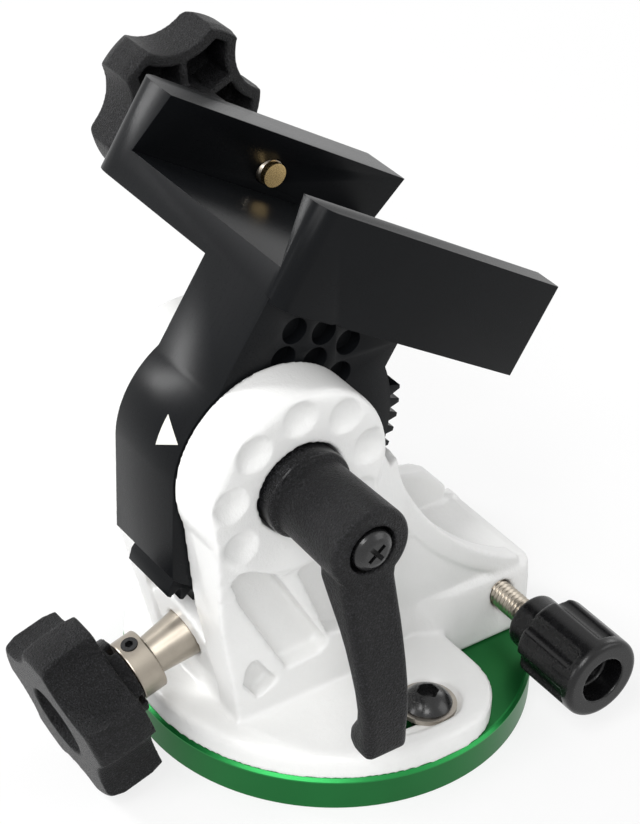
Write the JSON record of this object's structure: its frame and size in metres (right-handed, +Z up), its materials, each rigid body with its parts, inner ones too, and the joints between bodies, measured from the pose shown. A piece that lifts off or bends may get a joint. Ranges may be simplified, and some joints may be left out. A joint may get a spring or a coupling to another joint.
{
  "type": "equatorial mount",
  "caption": "Small equatorial wedge with a round tripod base, azimuth push screws, a worm-driven altitude bracket, a clamp lever and a dovetail saddle.",
  "frame": {"origin": "centre of the base plate's underside, at the mouth of the tripod thread", "axes": "+Z up along the azimuth axis; +Y along the altitude axis away from the clamp lever; +X towards the azimuth screws"},
  "size_m": [0.1127, 0.133, 0.1207],
  "materials": {
    "green_anodised": "green anodised, satin, bright turned edge",
    "white_paint": "white textured powder paint",
    "black_anodised": "black anodised, satin, fine brushed",
    "black_plastic": "black moulded plastic, fine grain",
    "knob_plastic": "black moulded plastic, smooth",
    "nickel_steel": "nickel plated",
    "black_steel": "black oxide steel",
    "brass": "machined brass",
    "nylon": "natural nylon"
  },
  "bodies": {
    "base": {"base_plate": "green_anodised", "azimuth_post": "nickel_steel", "azimuth_lock_bolts": "black_steel", "azimuth_lock_washers": "nickel_steel"},
    "housing": {"housing": "white_paint", "altitude_bolt": "nickel_steel", "lever_washer": "nickel_steel", "worm_front_bush": "nickel_steel", "worm_rear_bush": "brass", "worm_end_plug": "black_steel"},
    "bracket": {"altitude_bracket": "black_anodised"},
    "worm": {"worm": "nickel_steel", "worm_collar": "nickel_steel", "collar_set_screw": "black_steel", "altitude_knob": "black_plastic", "altitude_knob_insert": "brass"},
    "lever_core": {"lever_insert": "brass", "lever_screw": "black_steel", "lever_spring": "nickel_steel"},
    "lever_handle": {"lever_handle": "black_plastic"},
    "near_azimuth_tip": {"near_azimuth_tip": "nylon"},
    "near_azimuth_screw": {"near_azimuth_screw": "nickel_steel", "near_azimuth_knob": "knob_plastic"},
    "far_azimuth_tip": {"far_azimuth_tip": "nylon"},
    "far_azimuth_screw": {"far_azimuth_screw": "nickel_steel", "far_azimuth_knob": "knob_plastic"},
    "clamp_tip": {"clamp_tip": "brass"},
    "clamp_screw": {"clamp_screw": "nickel_steel", "clamp_knob": "black_plastic", "clamp_knob_insert": "brass"}
  },
  "joints": [
    {"name": "azimuth", "type": "hinge", "parent": "base", "child": "housing", "pos_m": [0, 0, 0.01], "axis": [0, 0, 1], "range_deg": [-2, 12]},
    {"name": "altitude", "type": "hinge", "parent": "housing", "child": "bracket", "pos_m": [-0.0242, 0, 0.07], "axis": [0, 1, 0], "range_deg": [-31.35, 34.65]},
    {"name": "altitude_knob_turn", "type": "hinge", "parent": "housing", "child": "worm", "pos_m": [-0.01241, 0, 0.03261], "axis": [0.9537, 0, 0.3007], "range_deg": [-2040, 2255]},
    {"name": "altitude_lever", "type": "hinge", "parent": "housing", "child": "lever_core", "pos_m": [-0.0242, -0.03, 0.07], "axis": [0, 1, 0], "range_deg": [-90, 30]},
    {"name": "lever_pull", "type": "slide", "parent": "lever_core", "child": "lever_handle", "axis": [0, -1, 0], "range_m": [0, 0.0025], "stiffness_N_per_m": 500},
    {"name": "near_azimuth_travel", "type": "slide", "parent": "housing", "child": "near_azimuth_tip", "axis": [0, 1, 0], "range_m": [-0.00695, 0.0012]},
    {"name": "near_azimuth_turn", "type": "hinge", "parent": "near_azimuth_tip", "child": "near_azimuth_screw", "pos_m": [0.033, -0.02, 0.0156], "axis": [0, 1, 0], "range_deg": [-2495, 420]},
    {"name": "far_azimuth_travel", "type": "slide", "parent": "housing", "child": "far_azimuth_tip", "axis": [0, 1, 0], "range_m": [-0.00695, 0.0012]},
    {"name": "far_azimuth_turn", "type": "hinge", "parent": "far_azimuth_tip", "child": "far_azimuth_screw", "pos_m": [0.033, 0.02, 0.0156], "axis": [0, 1, 0], "range_deg": [-2495, 420]},
    {"name": "clamp_travel", "type": "slide", "parent": "bracket", "child": "clamp_tip", "axis": [0, 1, 0], "range_m": [-0.005, 0.002]},
    {"name": "clamp_turn", "type": "hinge", "parent": "clamp_tip", "child": "clamp_screw", "pos_m": [0.01012, 0.045, 0.09616], "axis": [0, 1, 0], "range_deg": [-1800, 720]}
  ],
  "couplings": [
    {"joint": "altitude_knob_turn", "follows": "altitude", "ratio": 65},
    {"joint": "near_azimuth_travel", "follows": "azimuth", "m_per_rad": -0.033},
    {"joint": "near_azimuth_turn", "follows": "azimuth", "ratio": -207.35},
    {"joint": "far_azimuth_travel", "follows": "azimuth", "m_per_rad": -0.033},
    {"joint": "far_azimuth_turn", "follows": "azimuth", "ratio": -207.35},
    {"joint": "clamp_turn", "follows": "clamp_travel", "rad_per_m": 6283.2}
  ]
}
